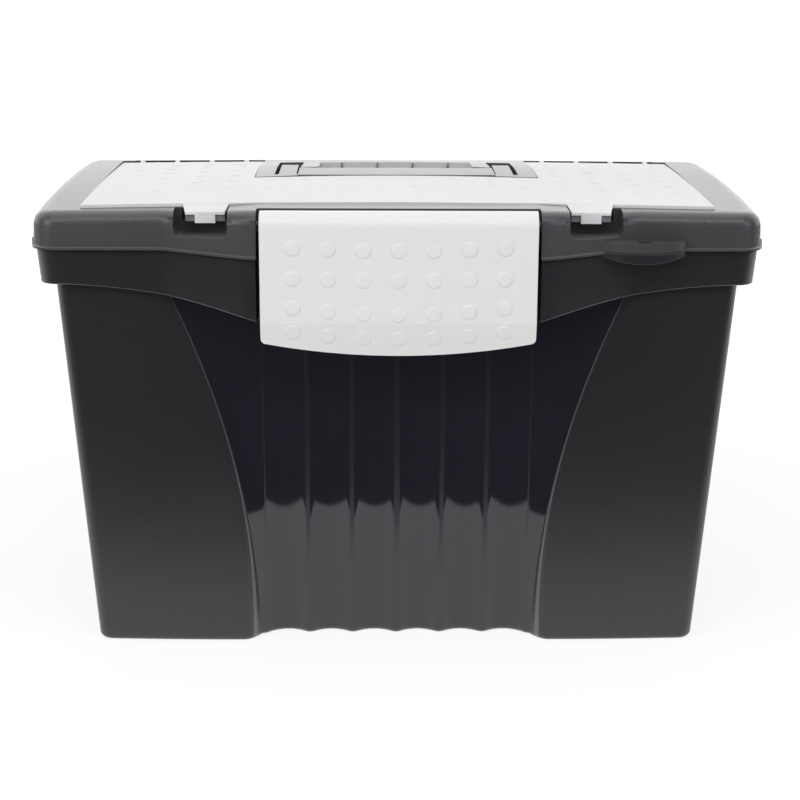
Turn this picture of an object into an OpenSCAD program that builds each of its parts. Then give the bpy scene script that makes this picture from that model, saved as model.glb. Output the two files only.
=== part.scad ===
// Portable file box with an organizer lid, a fold-down carry handle and a wide front latch.
// Millimetres, +Z up. The origin is the middle of the flat bottom; the latch faces -Y.

/* [Tub] */
// Width of the tub at its foot
foot_w = 374; // [340:1:385]
// Depth of the tub at its foot, at the corners
foot_d = 190; // [176:1:196]
// Width of the tub just under its collar
neck_w = 407; // [390:1:411]
// Depth of the tub just under its collar
neck_d = 206; // [200:1:207]
// Wall thickness of the tub
tub_wall = 2.8; // [2:0.1:3.5]
// Thickness of the tub's bottom
tub_floor = 3; // [2:0.1:5]
// Radius of the bottom edge
foot_r = 4; // [2:0.5:5]
// Plan radius of the tub's corners under the collar
tub_corner_r = 8; // [6:1:14]
// How far the front face swells forward between its corners
front_swell = 2.2; // [0:0.1:4]

/* [Fluted recess] */
// Number of flutes in the glossy recess
flutes = 6; // [4:2:8]
// Distance between the ridges of the flutes
flute_pitch = 26.85; // [24:0.05:28]
// Depth of one flute behind its ridges
flute_depth = 6.4; // [3:0.1:8]
// Depth of the recess at the foot
recess_foot = 11.3; // [8:0.1:13]
// Depth of the recess under the collar
recess_neck = 3; // [2:0.1:6]
// Half width of the recess at the foot
recess_half_foot = 87; // [86:1:96]
// Half width of the recess under the collar
recess_half_neck = 135; // [125:1:142]
// How late the sides of the recess flare out
recess_flare = 1.8; // [1.2:0.1:2.5]
// How far the face rolls back at the edge of the recess, at the neck
edge_roll = 1.2; // [0.5:0.1:2]
// How far the face rolls back at the edge of the recess, at the foot
edge_roll_foot = 8; // [2:0.5:9]

/* [Collar] */
// Height of the seam between collar and lid
seam_h = 251.9; // [245:0.1:262]
// How much lower the seam lies at the bulge
seam_dip = 2.4; // [0:0.1:5]
// Height of the collar at the corners
collar_h = 21.2; // [16:0.1:26]
// Slope of the collar's lower edge near the corners
apron_slope = 0.04; // [0:0.01:0.1]
// How much faster the lower edge falls towards the middle, per millimetre
apron_fall = 0.0011; // [0.0005:0.00005:0.0013]
// How far the collar reaches below the seam behind the latch
apron_reach = 41.2; // [38:0.1:42]
// How far the collar stands out past the rim that the lid closes over
collar_step = 1.2; // [0.5:0.1:1.8]
// How much narrower the collar is at its lower edge
collar_taper = 1.8; // [0:0.1:3]
// Radius of the collar's lower edge
collar_r = 1; // [0.5:0.1:1.5]
// How far the rim of the tub rises inside the lid
rim_rise = 5.5; // [3:0.5:5.5]

/* [Lid] */
// Width of the lid over its flange at the corners
lid_w = 432.4; // [428:0.2:450]
// Depth of the lid over its flange, without the bulge
lid_d = 226; // [222:1:236]
// Height of the cover's front edge above the seam
lid_rise = 23.8; // [22.5:0.1:28]
// How much higher the cover's back edge lies
back_rise = 0.6; // [0:0.1:2]
// How far the back border stands above the cover
back_proud = 0.8; // [0:0.1:1.5]
// Wall thickness of the lid
lid_wall = 2.4; // [2:0.1:3]
// Gap between the rim of the tub and the skirt of the lid
rim_gap = 0.4; // [0.2:0.05:0.8]
// How far the flange stands proud of the skirt
flange_out = 1; // [0.5:0.1:1.5]
// Height of the flange on the sides and the back
flange_h = 5.6; // [3:0.1:7]
// Height of the flange's lip along the front
lip_h = 2; // [1.2:0.1:4]
// Plan radius of the lid's corners
lid_corner_r = 14; // [10:1:18]
// Radius of the edge between skirt and top
edge_r = 8; // [5:0.5:9]
// How far the sides of the lid bow outwards at mid depth
side_bow = 2.2; // [0:0.1:4]
// How far the middle of the front bulges forward
bulge_out = 18; // [16:0.5:19]
// Half width at which the bulge starts
bulge_start = 138; // [134:1:144]
// Half width at which the bulge is full
bulge_full = 87; // [87:1:92]
// Crown of the top at the front edge of the cover
front_crown = 2; // [0:0.1:4]
// Crown of the top at the back edge of the cover
back_crown = 1; // [0:0.1:3]
// Extra crown of the top at mid depth
mid_crown = 5.2; // [0:0.1:7]
// Crown of the side borders at mid depth
border_crown = 1; // [0:0.1:2]
// Thickness of the top border
border_t = 3; // [2.5:0.1:4]

/* [Organizer cover] */
// Width of the cover
cover_w = 375.6; // [366:0.2:378]
// Distance from the middle of the box to the cover's front edge
cover_front = 96; // [92:0.5:97]
// Thickness of the cover
cover_t = 2.5; // [2:0.1:3]
// How far the cover stands above the front border beside the finger tabs
cover_proud = 1.8; // [0:0.1:2.2]
// Gap round the cover
cover_gap = 0.5; // [0.3:0.1:0.8]
// Swing room behind the cover's back edge
swing_room = 2.4; // [2.3:0.1:3]
// Radius of the rod that the cover's hooks clip round
rod_r = 2.5; // [2:0.1:2.8]
// Wall of a hook
hook_wall = 1.9; // [1.5:0.1:2.2]
// Width of a hook
hook_w = 3; // [2:0.1:4]
// Distance between the hooks
hook_pitch = 24; // [20:0.5:25]
// Distance from the middle of the box to the innermost hook
hook_first = 102.8; // [101:0.1:106]
// Distance from the middle of the box to the middle of a finger tab
tab_x = 113.5; // [112:0.5:115]
// How far a finger tab reaches in front of the cover
tab_out = 10; // [8:0.5:12]
// How far a finger tab falls on the way
tab_fall = 3.4; // [2:0.1:5]
// Height of the wall under a finger tab
tab_wall_h = 5; // [3:0.1:6]
// Thickness of a finger tab
tab_t = 1.6; // [1.2:0.1:2]
// Distance from the middle of the box to the middle of a notch
notch_x = 115.4; // [114:0.1:117]
// Width of a finger tab
tab_w = 27; // [24:0.5:28]
// Width of the notch that a finger tab curls into
notch_w = 32.4; // [31:0.1:33]
// Width of the snap tongue in the middle of a tab
tongue_w = 12; // [10:0.5:16]
// Height of the notch's sill above the seam
notch_sill = 8.5; // [8:0.5:10]

/* [Organizer wells] */
// Thickness of the walls between the wells
well_wall = 2.4; // [2:0.1:3]
// Thickness of the wells' floor
well_floor = 2.5; // [2:0.1:3]
// Plan radius of the wells' corners
well_r = 6; // [3:0.5:10]

/* [Carry handle] */
// Width of the handle's island in the cover
island_w = 179; // [177:1:184]
// Distance from the middle of the box to the island's front edge
island_front = 18; // [17:0.5:22]
// Width over the handle's arms
handle_w = 151; // [146:1:156]
// Width of one handle arm
arm_w = 13; // [10:0.5:16]
// Width of the grip, front to back
grip_d = 36; // [30:1:38]
// Thickness of the grip
grip_t = 13; // [10:0.5:14]
// Distance from the middle of the box back to the handle's pivot
handle_pivot_y = 52; // [48:0.5:56]
// Radius of the handle's pivot stubs
handle_stub_r = 3.5; // [2.5:0.1:4]
// Gap beside the handle's arms
handle_side_gap = 2.2; // [1:0.1:3]
// Swing room behind the grip
grip_gap = 3.9; // [3.8:0.1:4.5]
// How far the finger space ends short of the grip's ends
finger_in = 12; // [6:0.5:16]
// Width of the groove between grip and arm
groove_w = 1.8; // [1:0.1:2.5]

/* [Latch] */
// Width of the latch
latch_w = 160.8; // [157:0.1:162]
// Width of the bay that the latch closes into
bay_w = 165; // [164:0.1:168]
// Radius of the latch's rounded head
latch_head_r = 9; // [8:0.1:9.5]
// Height of the latch's hinge axis above the seam
latch_axis_up = 16.4; // [15:0.1:17.5]
// Wall thickness of the latch
latch_t = 2.8; // [2:0.1:3.5]
// How far the latch reaches below the seam in the middle
latch_reach = 59.3; // [55:0.1:66]
// How far the latch reaches below the seam at its corners
latch_reach_side = 51.4; // [48:0.1:55]
// How far below the seam the latch's lip starts to turn back
crease_down = 39.4; // [36:0.1:40]
// How far the lip turns back
lip_back = 4; // [0:0.5:7]
// Width over the latch's catch
catch_w = 120; // [60:1:140]
// How far the catch reaches under the collar
catch_bite = 1.5; // [1:0.1:1.8]
// Radius of the latch's pivot stubs
latch_stub_r = 2.8; // [2:0.1:3]

/* [Lid hinges] */
// Distance from the middle of the box to the middle of a hinge
hinge_x = 130; // [90:1:160]
// Radius of the hinge pins
pin_r = 2; // [1.5:0.1:2.4]
// Radius of the hinge knuckles
knuckle_r = 4.4; // [3.8:0.1:4.6]
// Length of one knuckle
knuckle_l = 12; // [8:0.5:16]
// Gap between neighbouring knuckles
knuckle_gap = 0.4; // [0.2:0.1:0.6]

/* [Lock ears] */
// Distance from the middle of the box to the padlock hole
ear_x = 143; // [142:1:165]
// Width of the ears
ear_w = 51; // [44:1:54]
// How far the ears stand out from the lid
ear_out = 15; // [13:0.5:18]
// Radius of the ears' front edge, seen from above
ear_front_r = 35; // [30:1:45]
// Radius of the ears' corners, seen from above
ear_corner_r = 3; // [2:0.5:5]
// Thickness of the lid's ear
lid_ear_t = 5.6; // [5:0.1:8]
// Thickness of the tub's ear
tub_ear_t = 6; // [4:0.1:6.5]
// Radius of the padlock hole
lock_hole_r = 4; // [2.5:0.1:4.5]

/* [Filing rails] */
// Distance between the lips that the folder hooks hang on
rail_span = 387; // [380:1:388]
// Height of the lips below the seam
rail_down = 12; // [10:0.5:16]
// Thickness of a lip
rail_t = 2.2; // [1.8:0.1:3]
// Height of a lip above its shelf
rail_lip = 5; // [3:0.5:7]

/* [Hidden] */
run_gap = 0.06;
eps = 0.01;
past = 60; // how far a cut runs on past the part
bay_step = 0.5;
arc_n = 5;
flute_n = 5;
latch_proud = 3; // how far the latch stands in front of the lid's bulge
latch_clear = 0.7; // gap between the latch's head and the bay's back wall
collar_back = 11; // how far the collar steps back behind the latch
back_border = 16.5; // width of the border behind the cover
rod_drop = 0.4; // how much lower the hooks' rod lies than the cover's underside
rod_clear = 0.8; // gap between the hooks and the cover's back edge
front_seat = 2.5; // width of the cover's seat at the front
back_seat = 4.2; // width of the cover's seat at the back
side_seat = 2; // width of the cover's seat at the sides
pocket_up = 8; // height of the handle's pocket above the seam
pivot_up = 3; // height of the handle's stubs above their pocket
hinge_back = 3.4; // how far the hinge axis lies behind the skirt
hinge_drop = 0.6; // gap between the knuckles and the seam
ear_top = 6.7; // height of the lid's ear above the seam
ear_gap = 0.5; // gap between the two ears
ear_hole_share = 0.55; // how far out in the ears the padlock hole lies
BLACK = [0.13, 0.13, 0.14];
WHITE = [0.93, 0.93, 0.92];
GREY = [0.22, 0.22, 0.23];

skirt_hw = lid_w / 2 - flange_out;
skirt_hd = lid_d / 2 - flange_out;
collar_off = -lid_wall - rim_gap;
collar_out = collar_off + collar_step;
flute_hw = flutes * flute_pitch / 2;
flute_count = flutes * flute_n / 2;
face_y = skirt_hd + bulge_out;
top_h = seam_h + lid_rise;
apron_low = seam_h - apron_reach;
latch_low = seam_h - latch_reach;
latch_corner_low = seam_h - latch_reach_side;
crease_h = seam_h - crease_down;
latch_axis_z = seam_h + latch_axis_up;
latch_face = face_y + latch_proud;
latch_axis_y = latch_face - latch_head_r;
bay_back = latch_axis_y - latch_head_r - latch_clear;
collar_bay = face_y - collar_back;
rim_bay = bay_back - lid_wall - rim_gap;
rod_z = top_h + back_rise - cover_t - rod_drop;
cover_back = skirt_hd - back_border;
rod_y = cover_back + rod_r + hook_wall + rod_clear;
hook_r = rod_r + run_gap + hook_wall;
hook_last = hook_first + 3 * hook_pitch;
well_front = cover_front - front_seat;
well_back = cover_back - back_seat;
well_hw = cover_w / 2 - side_seat;
tray_z = seam_h + well_floor;
pocket_z = seam_h + pocket_up;
handle_axis_z = pocket_z + handle_stub_r + pivot_up;
hinge_y = skirt_hd + hinge_back;
hinge_z = seam_h - knuckle_r - hinge_drop;

// A clamped ramp from 0 to 1 with both ends eased
function eased(t, e = 0.14) =
    t < -e ? 0 : t < e ? (t + e) * (t + e) / (4 * e)
    : t < 1 - e ? t : t < 1 + e ? 1 - (1 + e - t) * (1 + e - t) / (4 * e) : 1;
function bulge_share(x) = eased((bulge_start - abs(x)) / (bulge_start - bulge_full));
function arc(cx, cy, r, a0, a1, n) =
    [for (i = [0:n]) let (a = a0 + (a1 - a0) * i / n) [cx + r * cos(a), cy + r * sin(a)]];
function bowed(p, hd, bow) = [p[0] + bow * max(0, 1 - pow(p[1] / hd, 2)), p[1]];
function closed(half) = concat(half, [for (i = [len(half) - 2:-1:1]) [-half[i][0], half[i][1]]]);

// Height of the domed top: u runs from the cover's front edge to its back edge
function top_u(y) = min(1, max(0, (y + cover_front) / (cover_front + cover_back)));
function top_z(x, y) =
    let (u = top_u(y), fx = max(0, 1 - pow(x / (cover_w / 2 + 7), 2)))
    top_h + back_rise * u + fx * (front_crown * (1 - u) + back_crown * u)
    + (border_crown + mid_crown * fx) * 4 * u * (1 - u);
// How much of cover_proud shows at x: little behind the latch, all of it outside the finger tabs
function proud_share(x) = 0.1 + 0.9 * eased((abs(x) - bay_w / 2 - 6) / tab_w);
function lid_top(x, y) =
    top_z(x, y) - cover_proud * proud_share(x) * (1 - top_u(y)) + back_proud * top_u(y);

// Half outlines run from the middle of the front, round the right side, to the middle of the back.
// Corners, sides and back of a rounded rectangle whose sides bow outwards
function rim_back(hw, hd, r, bow) =
    concat([for (p = arc(hw - r, -hd + r, r, -90, 0, arc_n)) bowed(p, hd, bow)],
           [for (k = [-0.45, 0, 0.45]) bowed([hw, hd * k], hd, bow)],
           [for (p = arc(hw - r, hd - r, r, 0, 90, arc_n)) bowed(p, hd, bow)],
           [[hw / 2, hd], [0, hd]]);
// Front stations of the collar, one for each station of the fluted front, stepped at the latch bay
function front_x(bay_hw) =
    let (flat = skirt_hw - lid_corner_r - recess_half_neck)
    concat([for (i = [0:flute_count]) flute_hw * i / flute_count],
           [bay_hw, bay_hw + bay_step, bulge_full + 24, recess_half_neck - 7,
            recess_half_neck - 1.5, recess_half_neck + 1.5],
           [for (f = [0.2, 0.5, 0.8]) recess_half_neck + flat * f]);
function collar_half(off, bay_y, bay_hw) =
    concat([for (x = front_x(bay_hw))
               [x, x < bay_hw + bay_step / 2 ? -bay_y : -skirt_hd - off - bulge_out * bulge_share(x)]],
           rim_back(skirt_hw + off, skirt_hd + off, lid_corner_r + off, side_bow));
// The tub below its collar at height z, set in by a wall
function body_half(z, in) =
    let (k = z / (seam_h - collar_h),
         hw = foot_w / 2 + (neck_w - foot_w) / 2 * k - in,
         hd = foot_d / 2 + (neck_d - foot_d) / 2 * k - in,
         swell = front_swell * (1 - k / 2),
         front = hd + swell,
         deep = recess_foot + (recess_neck - recess_foot) * k,
         edge = recess_half_foot + (recess_half_neck - recess_half_foot) * pow(k, recess_flare),
         roll = min(deep * 0.8, edge_roll + (edge_roll_foot - edge_roll) * pow(1 - k, 3)),
         face = edge + roll * 1.1)
    concat([for (i = [0:flute_count])
               let (f = (i / flute_n) % 1)
               [flute_hw * i / flute_count, -front + deep + flute_depth * 4 * f * (1 - f)]],
           [for (f = [0.15, 0.24, 0.6, 0.88, 1])
               [flute_hw + (edge - flute_hw) * f, -front + roll + (deep - roll) * sqrt(1 - f * f)]],
           [[face, -front]],
           [for (f = [0.2, 0.5, 0.8])
               let (x = face + (hw - tub_corner_r - face) * f)
               [x, -front + swell * f * f]],
           rim_back(hw, hd, tub_corner_r - in * 0.5, side_bow * k));

// Height of the collar's lower edge at a point of its outline
function apron_z(p) =
    let (d = max(0, neck_w / 2 - 7 - abs(p[0])))
    p[1] > 0 ? seam_h - collar_h
    : max(apron_low, seam_h - collar_h - apron_slope * d - apron_fall * d * d);
function seam_z(p) = seam_h - (p[1] < 0 ? seam_dip * bulge_share(p[0]) : 0);

NECK_Z = [for (p = closed(body_half(seam_h - collar_h, 0))) apron_z(p)];
EDGE_Z = [for (p = closed(collar_half(collar_out, collar_bay, bay_w / 2))) apron_z(p)];

// Rings of 3D points
function body_ring(t, in, up) =
    [for (i = [0:len(NECK_Z) - 1])
        let (z = t * NECK_Z[i] + up, p = closed(body_half(z, in))[i]) [p[0], p[1], z]];
function flat_ring(z, in) = [for (p = closed(body_half(z, in))) [p[0], p[1], z]];
function collar_ring(off, bay_y, bay_hw, up) =
    let (o = closed(collar_half(off, bay_y, bay_hw)))
    [for (i = [0:len(o) - 1]) [o[i][0], o[i][1], EDGE_Z[i] + up]];
function seam_ring(off, bay_y, bay_hw, up) =
    [for (p = closed(collar_half(off, bay_y, bay_hw))) [p[0], p[1], seam_z(p) + up]];
function lid_half(off) =
    concat([for (f = [0, 0.45, 0.88])
               let (x = bulge_full * f)
               [x, -skirt_hd - off - bulge_out * bulge_share(x)]],
           [for (f = [-0.08, 0.04, 0.14, 0.5, 0.88, 0.98, 1.1])
               let (x = bulge_full + (bulge_start - bulge_full) * f)
               [x, -skirt_hd - off - bulge_out * bulge_share(x)]],
           rim_back(skirt_hw + off, skirt_hd + off, lid_corner_r + off, side_bow));
function lid_seam_ring(off, up) =
    [for (p = closed(lid_half(off))) [p[0], p[1], seam_z(p) + up]];
// The flange's outline, at its top where it is low along the front and higher on the other sides
function flange_ring(off, drop) =
    [for (p = closed(lid_half(off)))
        [p[0], p[1], seam_z(p) + (p[1] < -skirt_hd + lid_corner_r ? lip_h : flange_h) - drop]];
function lid_level_ring(off, z) = [for (p = closed(lid_half(off))) [p[0], p[1], z]];
function lid_top_ring(off, drop) =
    [for (p = closed(lid_half(off))) [p[0], p[1], lid_top(p[0], p[1]) - drop]];
function lid_dome_ring(f) =
    [for (p = closed(lid_half(-edge_r - 0.4))) [p[0] * f, p[1] * f, lid_top(p[0] * f, p[1] * f)]];

// A closed skin over a stack of equal rings, with flat ends that fan out from a middle point at y
module skin(rings, y = 0) {
    n = len(rings[0]);
    m = len(rings);
    polyhedron(
        points = concat([for (r = rings) each r], [for (r = [rings[0], rings[m - 1]]) [0, y, r[0][2]]]),
        faces = concat(
            [for (i = [0:n - 1]) [m * n, i, (i + 1) % n]],
            [for (k = [0:m - 2], i = [0:n - 1]) let (j = (i + 1) % n)
                [k * n + i, (k + 1) * n + i, (k + 1) * n + j]],
            [for (k = [0:m - 2], i = [0:n - 1]) let (j = (i + 1) % n)
                [k * n + i, (k + 1) * n + j, k * n + j]],
            [for (i = [0:n - 1]) let (j = (i + 1) % n)
                [m * n + 1, (m - 1) * n + j, (m - 1) * n + i]]),
        convexity = 10);
}
// A plate that follows the domed top, between two heights measured from the cover's surface
module dome_slab(low, high) {
    nx = 14;
    ny = 8;
    hw = cover_w / 2 + 6;
    y0 = -cover_front - 6;
    y1 = cover_back + 6;
    m = (nx + 1) * (ny + 1);
    function at(i, j, up) =
        let (x = -hw + 2 * hw * i / nx, y = y0 + (y1 - y0) * j / ny) [x, y, top_z(x, y) + up];
    function id(i, j) = i * (ny + 1) + j;
    border = concat([for (i = [0:nx - 1]) id(i, 0)], [for (j = [0:ny - 1]) id(nx, j)],
                    [for (i = [nx:-1:1]) id(i, ny)], [for (j = [ny:-1:1]) id(0, j)]);
    nb = len(border);
    polyhedron(
        points = concat([for (i = [0:nx], j = [0:ny]) at(i, j, low)],
                        [for (i = [0:nx], j = [0:ny]) at(i, j, high)]),
        faces = concat(
            [for (i = [0:nx - 1], j = [0:ny - 1]) [id(i, j), id(i + 1, j), id(i + 1, j + 1)]],
            [for (i = [0:nx - 1], j = [0:ny - 1]) [id(i, j), id(i + 1, j + 1), id(i, j + 1)]],
            [for (i = [0:nx - 1], j = [0:ny - 1])
                [m + id(i + 1, j + 1), m + id(i + 1, j), m + id(i, j)]],
            [for (i = [0:nx - 1], j = [0:ny - 1])
                [m + id(i, j + 1), m + id(i + 1, j + 1), m + id(i, j)]],
            [for (k = [0:nb - 1]) let (a = border[k], b = border[(k + 1) % nb]) [a, m + a, m + b]],
            [for (k = [0:nb - 1]) let (a = border[k], b = border[(k + 1) % nb]) [a, m + b, b]]),
        convexity = 4);
}
module plate(x0, x1, y0, y1, z0, z1) {
    translate([x0, y0, z0]) cube([x1 - x0, y1 - y0, z1 - z0]);
}
module both_sides() {
    children();
    mirror([1, 0, 0]) children();
}
// A rod along X from x0 to x1
module rod(x0, x1, y, z, r) {
    translate([x0, y, z]) rotate([0, 90, 0]) cylinder(h = x1 - x0, r = r, $fn = 48);
}
// A profile drawn in the YZ plane, extruded along X from x0 to x1
module along_x(x0, x1) {
    translate([x0, 0, 0]) rotate([90, 0, 90]) linear_extrude(x1 - x0) children();
}
// A lock ear on the front face: short sides, rounded corners and a front edge in one wide arc
module ear(z0, t) {
    hw = ear_w / 2;
    turn = asin((hw - ear_corner_r) / (ear_front_r - ear_corner_r));
    mid_y = -skirt_hd - ear_out + ear_front_r;
    corner_y = mid_y - (ear_front_r - ear_corner_r) * cos(turn);
    translate([ear_x, 0, z0]) difference() {
        linear_extrude(t)
            polygon(concat([[-hw, -skirt_hd + 1.5]],
                           arc(-hw + ear_corner_r, corner_y, ear_corner_r, 180, 270 - turn, 4),
                           arc(0, mid_y, ear_front_r, 270 - turn, 270 + turn, 16),
                           arc(hw - ear_corner_r, corner_y, ear_corner_r, 270 + turn, 360, 4),
                           [[hw, -skirt_hd + 1.5]]));
        translate([0, -skirt_hd - ear_out * ear_hole_share, -1])
            cylinder(h = t + 2, r = lock_hole_r, $fn = 40);
    }
}
lid_ear_z = seam_h + ear_top - lid_ear_t;
tub_ear_z = lid_ear_z - ear_gap - tub_ear_t;

// Tub: one thin moulding with a fluted recess, a swooping collar and a rim inside the lid
module tub_shell() {
    levels = [0.09, 0.2, 0.32, 0.44, 0.56, 0.67, 0.78, 0.87, 0.94, 1];
    rim_hw = bay_w / 2 + lid_wall + rim_gap;
    skin(concat(
        [flat_ring(0, foot_r), flat_ring(foot_r * 0.3, foot_r * 0.3), flat_ring(foot_r, 0)],
        [for (t = levels) body_ring(t, 0, 0)],
        [collar_ring(collar_out - collar_taper - collar_r, collar_bay - collar_r, bay_w / 2, 0),
         collar_ring(collar_out - collar_taper, collar_bay, bay_w / 2, collar_r),
         seam_ring(collar_out, collar_bay, bay_w / 2, -0.5),
         seam_ring(collar_off - 0.35, rim_bay, rim_hw, 0.2),
         seam_ring(collar_off - 0.6, rim_bay - 0.3, rim_hw, rim_rise),
         seam_ring(collar_off - tub_wall, rim_bay - tub_wall, rim_hw + tub_wall, rim_rise),
         seam_ring(collar_off - tub_wall, rim_bay - tub_wall, rim_hw + tub_wall, -0.5 - tub_wall),
         seam_ring(collar_off - tub_wall, collar_bay - tub_wall, bay_w / 2 + tub_wall, -1.2 - tub_wall),
         collar_ring(collar_off - collar_taper - tub_wall, collar_bay - tub_wall,
                     bay_w / 2 + tub_wall, collar_r + tub_wall)],
        [for (i = [len(levels) - 1:-1:0]) body_ring(levels[i], tub_wall, levels[i] * tub_wall)],
        [flat_ring(tub_floor + foot_r * 0.7, tub_wall), flat_ring(tub_floor, tub_wall + foot_r * 0.7)]),
        foot_d / 3);
}
// A lip on a shelf along one side wall, for the hooks of hanging folders
module filing_rail() {
    top = seam_h - rail_down;
    wall_in = neck_w / 2 - tub_wall;
    hl = neck_d / 2 - 20;
    plate(rail_span / 2 - rail_t / 2, wall_in + 1, -hl, hl, top - rail_lip - rail_t, top - rail_lip);
    plate(rail_span / 2 - rail_t / 2, rail_span / 2 + rail_t / 2, -hl, hl, top - rail_lip - eps, top);
    for (y = [-hl * 0.7, 0, hl * 0.7])
        translate([0, y + rail_t / 2, 0]) rotate([90, 0, 0]) linear_extrude(rail_t)
            polygon([[rail_span / 2, top - rail_lip - 1], [wall_in + 1, top - rail_lip - 1],
                     [wall_in, top - rail_lip - 14]]);
}
module knuckle(x0, x1) {
    rod(x0, x1, hinge_y, hinge_z, knuckle_r);
}
// The tub's ear reaches back into the collar, and up only in front of the lid's flange
module tub_ear() {
    difference() {
        union() {
            ear(tub_ear_z, tub_ear_t);
            intersection() {
                translate([0, 0, tub_ear_z]) linear_extrude(tub_ear_t)
                    polygon(closed(collar_half(collar_off - collar_taper, collar_bay, bay_w / 2)));
                plate(ear_x - ear_w / 2, ear_x + ear_w / 2, -skirt_hd - 2 * ear_out, -skirt_hd + 6,
                      tub_ear_z, tub_ear_z + tub_ear_t);
            }
        }
        translate([0, 0, seam_z([ear_x - ear_w / 2, -skirt_hd]) - 0.6]) linear_extrude(past)
            polygon(closed(lid_half(flange_out + rim_gap)));
    }
}
module box_tub() color(BLACK) {
    difference() {
        union() {
            tub_shell();
            both_sides() filing_rail();
            both_sides() for (s = [-1, 1]) {
                x0 = hinge_x + s * (knuckle_l + knuckle_gap) - knuckle_l / 2;
                knuckle(x0, x0 + knuckle_l);
                plate(x0, x0 + knuckle_l, skirt_hd + collar_off - tub_wall * 0.6, hinge_y,
                      hinge_z - knuckle_r, hinge_z + knuckle_r * 0.5);
            }
            tub_ear();
        }
        both_sides()
            rod(hinge_x - 2 * knuckle_l, hinge_x + 2 * knuckle_l, hinge_y, hinge_z, pin_r + run_gap);
    }
}

// Lid: a skirted shell with a domed top, organizer wells and the handle's island
module lid_skin() {
    ceiling = top_h - cover_proud - border_t;
    skin(concat(
        [lid_level_ring(-lid_wall - 4, ceiling), lid_level_ring(-lid_wall, ceiling - 4),
         lid_seam_ring(-lid_wall, 0), lid_seam_ring(flange_out, 0),
         flange_ring(flange_out, 0.8), flange_ring(0, 0)],
        [for (a = [0, 30, 60, 90]) lid_top_ring(-0.4 - edge_r * (1 - cos(a)), edge_r * (1 - sin(a)))],
        [for (f = [0.86, 0.66, 0.42]) lid_dome_ring(f)],
        [[for (p = closed(lid_half(-edge_r - 0.4))) [p[0] * 0.2, p[1] * 0.2, lid_top(0, 0)]]]));
}
module well_plan() {
    wall_hw = island_w / 2 + well_wall;
    r = well_r;
    difference() {
        polygon(concat(arc(well_hw - r, -well_front + r, r, -90, 0, arc_n),
                       arc(well_hw - r, well_back - r, r, 0, 90, arc_n),
                       arc(-well_hw + r, well_back - r, r, 90, 180, arc_n),
                       arc(-well_hw + r, -well_front + r, r, 180, 270, arc_n)));
        translate([-wall_hw, -island_front - well_wall])
            square([2 * wall_hw, well_back + island_front + 40]);
    }
}
module cover_plan(gap) {
    difference() {
        translate([-cover_w / 2 - gap, -cover_front - gap])
            square([cover_w + 2 * gap, cover_front + cover_back + 2 * gap]);
        translate([-island_w / 2 - cover_gap + gap, -island_front - cover_gap + gap])
            square([island_w + 2 * (cover_gap - gap), cover_back + island_front + 40]);
    }
}
module notch_plan() {
    r = 5;
    z0 = seam_h + notch_sill;
    polygon(concat([[notch_w / 2, top_h + 20]], [[-notch_w / 2, top_h + 20]],
                   arc(-notch_w / 2 + r, z0 + r, r, 180, 270, arc_n),
                   arc(notch_w / 2 - r, z0 + r, r, 270, 360, arc_n)));
}
grip_hw = handle_w / 2 - arm_w;
finger_hw = grip_hw - finger_in;
grip_back = -island_front + 0.5 + grip_d;
grip_top = lid_top(0, 0) - 0.3;
arm_top = grip_top - 2;
pocket_back = handle_pivot_y + arm_top - handle_axis_z + 0.5;

module lid_blocks() {
    ceiling = top_h - cover_proud - border_t;
    inner_bay = -bay_back + lid_wall;
    // Tray that holds the wells and the island
    plate(-well_hw - well_wall, well_hw + well_wall, -well_front - well_wall, well_back + well_wall,
          seam_h, ceiling + 1);
    // Back wall and cheeks of the latch bay
    intersection() {
        translate([0, 0, seam_h - seam_dip]) linear_extrude(ceiling + 1 - seam_h + seam_dip)
            polygon(closed(lid_half(-0.8)));
        plate(-bay_w / 2 - lid_wall, bay_w / 2 + lid_wall, -face_y - 5, inner_bay,
              seam_h - seam_dip, ceiling + 1);
    }
    // Walls round the finger notches
    both_sides() intersection() {
        translate([0, 0, seam_h]) linear_extrude(ceiling + 1 - seam_h) polygon(closed(lid_half(-0.8)));
        plate(notch_x - notch_w / 2 - lid_wall, notch_x + notch_w / 2 + lid_wall, -face_y, -well_front,
              seam_h + notch_sill - 2, ceiling + 1);
    }
    // Trough for the cover's hooks
    both_sides()
        plate(hook_first - 8, hook_last + 8, well_back, rod_y + hook_r + 3,
              rod_z - hook_r - 3.4, ceiling + 1);
}
module lid_hinge_arm() {
    x0 = hinge_x - knuckle_l / 2;
    knuckle(x0, x0 + knuckle_l);
    plate(x0, x0 + knuckle_l, skirt_hd - 1, hinge_y + 1.6, hinge_z, seam_h + 9);
}
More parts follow.
